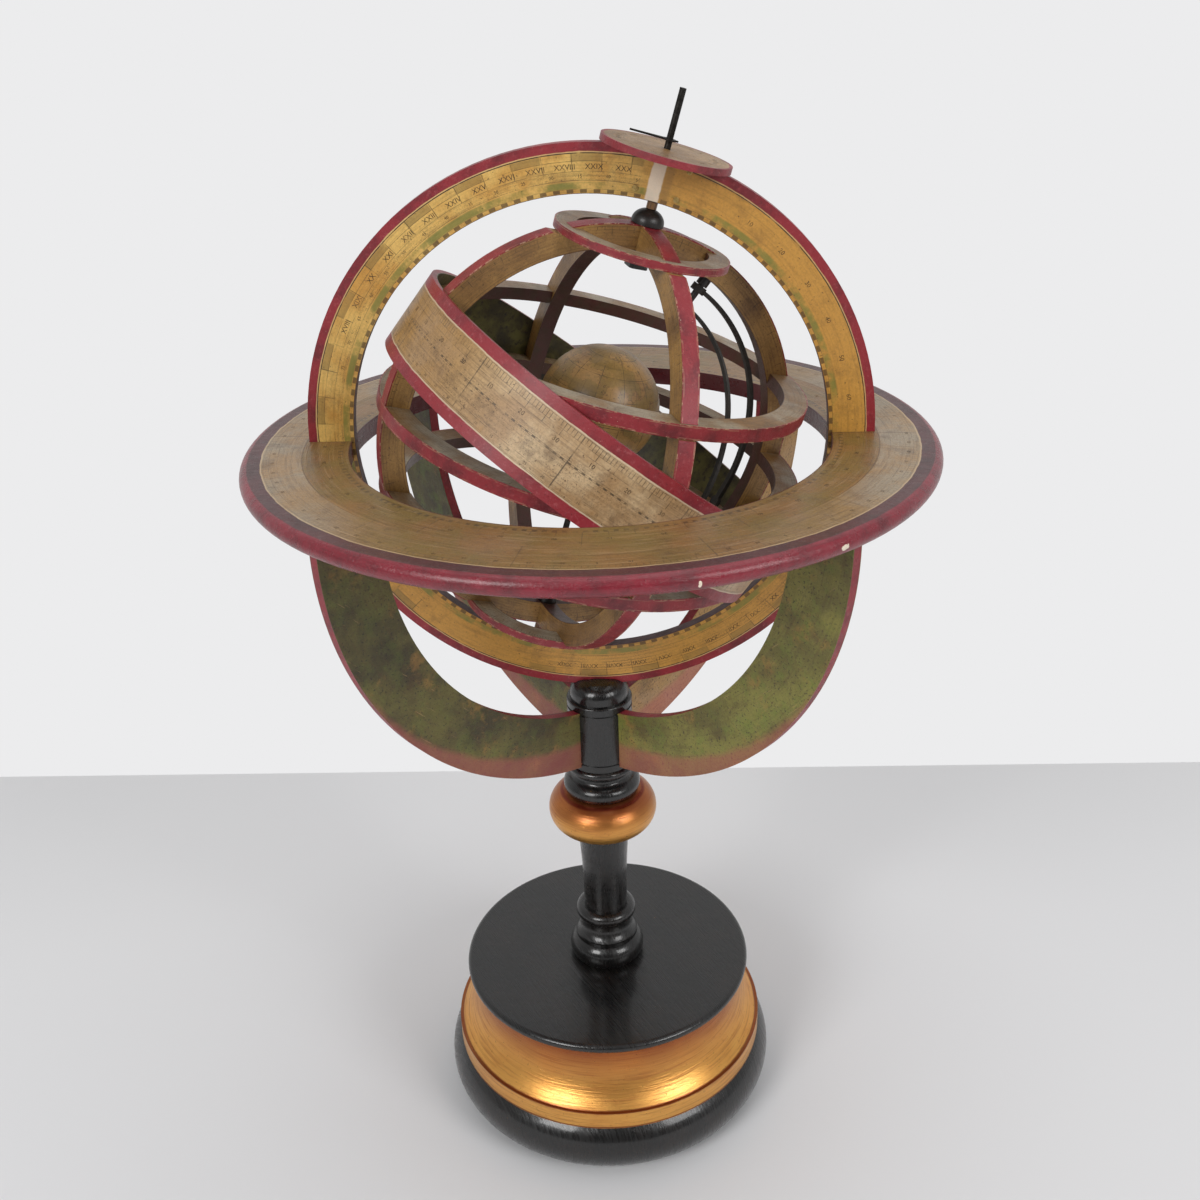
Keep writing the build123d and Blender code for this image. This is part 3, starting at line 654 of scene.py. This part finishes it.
def gilding_finish(name, worn_heights, low, high):
    """Water gilding: brushed gilt, redder at its worn edges, with a painted highlight that makes it
    brightest low on the curve.
    """
    finish = Finish(name, metallic=0.85, coat=0.2, coat_roughness=0.2)
    at = RingPlace(finish, foot_middle, up, right)
    brushed = brushing(finish, at, at.z, 0.9, 26.0)
    # Painted highlight: paler gold towards the low end of the curve, copper towards the high end.
    highlight_by_height = finish.rise(at.z, high, low)
    colour = finish.mix(highlight_by_height, COPPER, PAINTED_HIGHLIGHT_GOLD)
    tone = finish.rise(finish.noise(at.vector, 24.0, 5.0, 0.6), 0.4, 0.7)
    colour = finish.mix(finish.times(tone, 0.4), colour, GOLD)
    colour = finish.mix(finish.times(finish.rise(brushed, 0.44, 0.72), 0.55), colour, COPPER)
    rubbed = finish.rise(finish.noise(at.vector, 3.0, 6.0, 0.75), 0.58, 0.7)
    colour = finish.mix(finish.times(rubbed, 0.3), colour, BOLE_RED)
    specks = finish.rise(finish.noise(at.vector, 1.4, 3.0, 0.6), 0.68, 0.72)
    colour = finish.mix(finish.times(specks, 0.7), colour, DIRT)
    strayed = finish.wander(at.z, at.vector, 6.0, 0.3)
    for height in worn_heights:
        line = finish.within(strayed, height - 0.5, height + 0.4, 0.3)
        colour = finish.mix(finish.times(line, 0.8), colour, BOLE_RED)
    finish.bump(brushed, 0.25)
    return finish.show(colour, finish.sum("ADD", finish.times(brushed, 0.3), 0.18))


def turned_wood_finish(name, pale, dark, dull=0.35):
    """Turned wood with its fibres along the polar axis."""
    finish = Finish(name, coat=0.2, coat_roughness=0.25)
    at = RingPlace(finish, centre, polar, solstice)
    fibres = finish.vector(finish.times(at.x, 1.6), at.y, finish.times(at.z, 0.2))
    grain = finish.noise(fibres, 1.0, 5.0)
    colour = finish.mix(finish.rise(grain, 0.35, 0.65), pale, dark)
    finish.bump(grain, 0.1)
    return finish.show(colour, finish.sum("ADD", finish.times(grain, 0.2), dull))


def metal_finish(name, pale, dark, metallic, dull):
    """Metal, or paint as smooth as metal, with a cloudy patina."""
    finish = Finish(name, metallic=metallic)
    at = RingPlace(finish, centre, polar, solstice)
    patina = finish.noise(at.vector, 2.5, 5.0, 0.65)
    colour = finish.mix(finish.rise(patina, 0.4, 0.65), pale, dark)
    finish.bump(finish.noise(at.vector, 0.9, 4.0), 0.08)
    return finish.show(colour, finish.sum("ADD", finish.times(patina, 0.3), dull))


def ink_finish(name, worn):
    """Printing ink, rubbed towards the colour of its paper."""
    finish = Finish(name)
    at = RingPlace(finish, centre, up, right)
    rubbed = finish.rise(finish.noise(at.vector, 3.0, 5.0, 0.7), 0.4, 0.7)
    colour = finish.mix(finish.times(rubbed, 0.6), INK, worn)
    return finish.show(colour, satin(finish, at.vector, 0.55))


# Each piece gets its finish

CIRCLES = (
    "arctic_ring", "tropic_of_cancer_ring", "equator_ring", "tropic_of_capricorn_ring", "antarctic_ring",
)
COVE_BAND = 10.5

dress("meridian_ring", meridian_finish())
dress("horizon_ring", horizon_finish())
for ring in CIRCLES:
    dress(ring, circle_finish(ring + "_paper", ring, polar, solstice, PAPER_GREY, PAPER_BROWN))
for colure, axis in (("solstitial_colure", equinox), ("equinoctial_colure", solstice)):
    dress(colure, circle_finish(colure + "_paper", colure, axis, polar, PAPER_OCHRE, PAPER_BROWN))
dress("zodiac_band", zodiac_finish())
# The right-hand arms get paler colours than the left-hand ones: that paleness is painted light on the
# side the light falls from; their differing greens are their own colour.
for arm, pale, warm, green in (
    ("support_arm_front_left", OLIVE, OLIVE_DARK, 0.2),
    ("support_arm_front_right", OLIVE_PAINTED_LIT, OLIVE, 0.45),
    ("support_arm_back_right", PAPER_TAN, PAPER_OCHRE, 0.1),
    ("support_arm_back_left", OLIVE, OLIVE_DARK, 0.35),
):
    dress(arm, support_arm_finish(arm + "_paper", arm, pale, warm, green))
dress("earth_globe", globe_finish())
dress("hour_circle", hour_finish())

lacquer = lacquer_finish()
for piece in ("base_foot", "base_top", "column_shaft", "slotted_post"):
    dress(piece, lacquer)
cove_low, cove_high = reach("base_cove", up, foot_middle)
band_top = cove_low + COVE_BAND
cove_leaf = gilding_finish("gilt_cove_leaf", (cove_low + 0.6, band_top), band_top, cove_high)
dress("base_cove", cove_leaf)
knop_low, knop_high = reach("gilt_knop", up, foot_middle)
knop_leaf = gilding_finish("gilt_knop_leaf", (knop_low + 1.0, knop_high - 0.8), knop_low + 6.0, knop_high)
dress("gilt_knop", knop_leaf)
dress("arm_dowels", turned_wood_finish("bare_wood", seen(170, 134, 88), seen(128, 92, 54), 0.5))
ebonised = turned_wood_finish("ebonised_wood", seen(34, 28, 24), seen(20, 17, 15))
for piece in ("north_dome_bead", "north_boss", "south_boss", "ecliptic_peg"):
    dress(piece, ebonised)
brown_wood = turned_wood_finish("brown_wood", seen(124, 88, 50), seen(84, 56, 30))
for piece in ("north_sleeve", "south_sleeve", "peg_knob"):
    dress(piece, brown_wood)
iron = metal_finish("dark_iron", IRON, IRON_DARK, 0.8, 0.35)
for piece in ("north_axis_rod", "south_axis_rod", "hour_hand"):
    dress(piece, iron)
painted_strip = metal_finish("painted_strip", seen(40, 34, 28), seen(24, 22, 18), 0.0, 0.4)
for piece in ("sun_arm", "moon_arm"):
    dress(piece, painted_strip)
dress("meridian_pins", metal_finish("pin_brass", BRASS, seen(130, 100, 52), 0.9, 0.25))


# Printed numbers, thin ink on the papers

INK_LIFT = 0.03
ROMAN_LETTERS = ((50, "L"), (40, "XL"), (10, "X"), (9, "IX"), (5, "V"), (4, "IV"), (1, "I"))


def roman(number):
    """A number in Roman letters."""
    text = ""
    for value, letters in ROMAN_LETTERS:
        while number >= value:
            text += letters
            number -= value
    return text


class NumberPress:
    """Sets numbers on ring faces and prints them all as one thin sheet of ink."""

    def __init__(self):
        self.types = {}
        self.points = []
        self.faces = []

    def type_for(self, text):
        """Points and faces of one number, 1 high, centred on the line."""
        if text not in self.types:
            curve = bpy.data.curves.new("type", "FONT")
            curve.body = text
            curve.align_x = "CENTER"
            curve.align_y = "CENTER"
            curve.resolution_u = 2
            letter = bpy.data.objects.new("type", curve)
            mesh = bpy.data.meshes.new_from_object(letter)
            points = [(v.co.x, v.co.y) for v in mesh.vertices]
            self.types[text] = (points, [tuple(face.vertices) for face in mesh.polygons])
            bpy.data.objects.remove(letter)
            bpy.data.curves.remove(curve)
            bpy.data.meshes.remove(mesh)
        return self.types[text]

    def set_flat(self, text, size, origin, axis, start, turn, radius, height):
        """Sets a number on a flat ring face, its top outwards. The axis points out of the face."""
        side = axis.cross(start).normalized()
        begin = side.cross(axis)
        points, faces = self.type_for(text)
        first = len(self.points)
        for x, y in points:
            r = radius + y * size
            angle = turn - x * size / radius
            flat = begin * cos(angle) + side * sin(angle)
            self.points.append(origin + (flat * r + axis * (height + INK_LIFT)) * MM)
        self.faces += [tuple(first + corner for corner in face) for face in faces]

    def set_round(self, text, size, origin, axis, start, turn, radius, height):
        """Sets a number on the outside of a band, its top towards the axis's end."""
        side = axis.cross(start).normalized()
        begin = side.cross(axis)
        points, faces = self.type_for(text)
        first = len(self.points)
        for x, y in points:
            angle = turn + x * size / radius
            out = (begin * cos(angle) + side * sin(angle)) * (radius + INK_LIFT)
            self.points.append(origin + (out + axis * (height + y * size)) * MM)
        self.faces += [tuple(first + corner for corner in face) for face in faces]

    def print_on(self, name, body, material):
        """Makes one sheet of all the numbers, which moves with a body."""
        mesh = bpy.data.meshes.new(name)
        mesh.from_pydata(self.points, [], self.faces)
        mesh.materials.append(material)
        sheet = bpy.data.objects.new(name, mesh)
        bpy.context.scene.collection.objects.link(sheet)
        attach(sheet, body)


def meridian_numbers():
    """Numbers on the meridian's face, and twice twelve hours on the hour circle."""
    press = NumberPress()
    ring = (centre, front, polar)
    for place in range(1, 14):
        turn = radians(6 * place + 1.5)
        press.set_flat(roman(31 - place), 3.4, *ring, turn, meridian_out - 10.5, meridian_face)
    for place in range(1, 16):
        turn = radians(6 * place - 1.5)
        press.set_flat(str(place * 5), 2.1, *ring, turn, meridian_out - 14.5, meridian_face)
    for place in range(1, 11):
        turn = radians(-112 - 6 * place)
        press.set_flat(roman(place + 19), 3.2, *ring, turn, meridian_out - 10.4, meridian_face)
    for place in range(1, 10):
        turn = radians(-12 - 9 * place)
        press.set_flat(str(place * 10), 3.0, *ring, turn, meridian_out - 12, meridian_face)
    disc = (centre, polar, solstice)
    for place in range(24):
        turn = radians(15 * place + 7.5)
        press.set_flat(roman(place % 12 + 1), 3.1, *disc, turn, 22.2, hour_high)
    ink = ink_finish("meridian_ink", PAPER_OCHRE)
    press.print_on("meridian_numbers", "meridian", ink)


def horizon_numbers():
    """Degrees on the inner rows of the horizon and days on the outer ones."""
    press = NumberPress()
    ring = (centre, up, right)
    for place in range(36):
        turn = radians(10 * place + 5)
        press.set_flat(str(place % 9 * 10 + 10), 2.7, *ring, turn, 126.2, horizon_high)
    for place in range(72):
        turn = radians(5 * place + 2.5)
        press.set_flat(str(place % 6 * 5 + 5), 2.2, *ring, turn, 149.3, horizon_high)
    press.print_on("horizon_numbers", "stand", ink_finish("horizon_ink", PAPER_BROWN))


def zodiac_numbers():
    """Degrees within each sign, large above and small below."""
    press = NumberPress()
    ring = (centre, ecliptic, solstice)
    for place in range(36):
        turn = radians(10 * place + 5)
        press.set_round(str(place % 3 * 10 + 10), 3.0, *ring, turn, zodiac_out, 4.6)
    for place in range(72):
        turn = radians(5 * place + 2.5)
        press.set_round(str(place % 6 * 5 + 5), 1.7, *ring, turn, zodiac_out, -11.0)
    press.print_on("zodiac_numbers", "sphere", ink_finish("zodiac_ink", PAPER_TAN))


meridian_numbers()
horizon_numbers()
zodiac_numbers()


# Floor, light and camera

WALL_DISTANCE = 0.311
WALL_GREY = seen(236, 236, 237)
FLOOR_GREY = seen(226, 226, 228)
FLOOR_PALE = seen(230, 230, 231)


def pale_stage():
    """Pale floor that ends a little behind the object."""
    wide, ahead, back = 4.0, -5.0, WALL_DISTANCE
    mesh = bpy.data.meshes.new("floor")
    corners = [(-wide, ahead, 0), (wide, ahead, 0), (wide, back, 0), (-wide, back, 0)]
    mesh.from_pydata(corners, [], [(0, 1, 2, 3)])
    floor = bpy.data.objects.new("floor", mesh)
    bpy.context.scene.collection.objects.link(floor)
    finish = Finish("floor_paint")
    at = RingPlace(finish, foot_middle, up, right)
    clouds = finish.noise(at.vector, 400.0, 2.0)
    mesh.materials.append(finish.show(finish.mix(clouds, FLOOR_GREY, FLOOR_PALE), 0.7))


def pale_surround():
    """Plain wall grey to the camera, and to all else a room that is darker behind the camera."""
    world = bpy.data.worlds.new("surround")
    world.use_nodes = True
    tree = world.node_tree
    link = tree.links.new
    background = tree.nodes["Background"]
    ray = tree.nodes.new("ShaderNodeLightPath")
    shows = tree.nodes.new("ShaderNodeMath")
    shows.operation = "MAXIMUM"
    link(ray.outputs["Is Camera Ray"], shows.inputs[0])
    link(ray.outputs["Is Transmission Ray"], shows.inputs[1])
    direction = tree.nodes.new("ShaderNodeSeparateXYZ")
    link(tree.nodes.new("ShaderNodeTexCoord").outputs["Generated"], direction.inputs[0])
    depth = tree.nodes.new("ShaderNodeMapRange")
    link(direction.outputs["Y"], depth.inputs["Value"])
    for key, value in (("From Min", -0.9), ("From Max", 0.6), ("To Min", 0.12), ("To Max", 0.62)):
        depth.inputs[key].default_value = value
    room = tree.nodes.new("ShaderNodeMix")
    room.data_type = "RGBA"
    link(shows.outputs[0], room.inputs[0])
    link(depth.outputs[0], room.inputs[6])
    room.inputs[7].default_value = WALL_GREY
    link(room.outputs[2], background.inputs["Color"])
    bpy.context.scene.world = world


def soft_lamp(name, place, aim, size, power):
    """Square soft lamp that points at a spot."""
    data = bpy.data.lights.new(name, "AREA")
    data.size = size
    data.energy = power
    lamp = bpy.data.objects.new(name, data)
    lamp.location = place
    lamp.rotation_euler = (Vector(aim) - Vector(place)).to_track_quat("-Z", "Y").to_euler()
    bpy.context.scene.collection.objects.link(lamp)


def photo_camera():
    """Camera where the photograph was taken from, with its lens, tilt and small roll."""
    eye = Vector((23.9, -619.8, 605.7)) * MM
    heading, pitch, roll = radians(-1.73), radians(25.25), radians(-1.66)
    image_width, focal_pixels, middle = 1200, 1360.14, (605.84, 583.28)
    ahead = Vector((sin(heading) * cos(pitch), cos(heading) * cos(pitch), -sin(pitch)))
    data = bpy.data.cameras.new("photo_camera")
    data.sensor_width = 36.0
    data.lens = focal_pixels / image_width * data.sensor_width
    data.shift_x = -(middle[0] - image_width / 2) / image_width
    data.shift_y = (middle[1] - image_width / 2) / image_width
    data.clip_start = 0.01
    camera = bpy.data.objects.new("photo_camera", data)
    turned = ahead.to_track_quat("-Z", "Y").to_matrix() @ Matrix.Rotation(roll, 3, "Z")
    camera.matrix_world = Matrix.Translation(eye) @ turned.to_4x4()
    bpy.context.scene.collection.objects.link(camera)
    bpy.context.scene.camera = camera


pale_stage()
pale_surround()
soft_lamp("left_window", (-1.2, -1.7, 1.5), (0, 0, 0.3), 0.9, 24)
soft_lamp("right_window", (1.5, -1.3, 1.3), (0, 0, 0.3), 0.9, 16)
soft_lamp("ceiling", (0.2, 0.1, 2.2), (0, 0, 0.3), 1.6, 9)
photo_camera()
bpy.context.scene.view_settings.view_transform = "Standard"
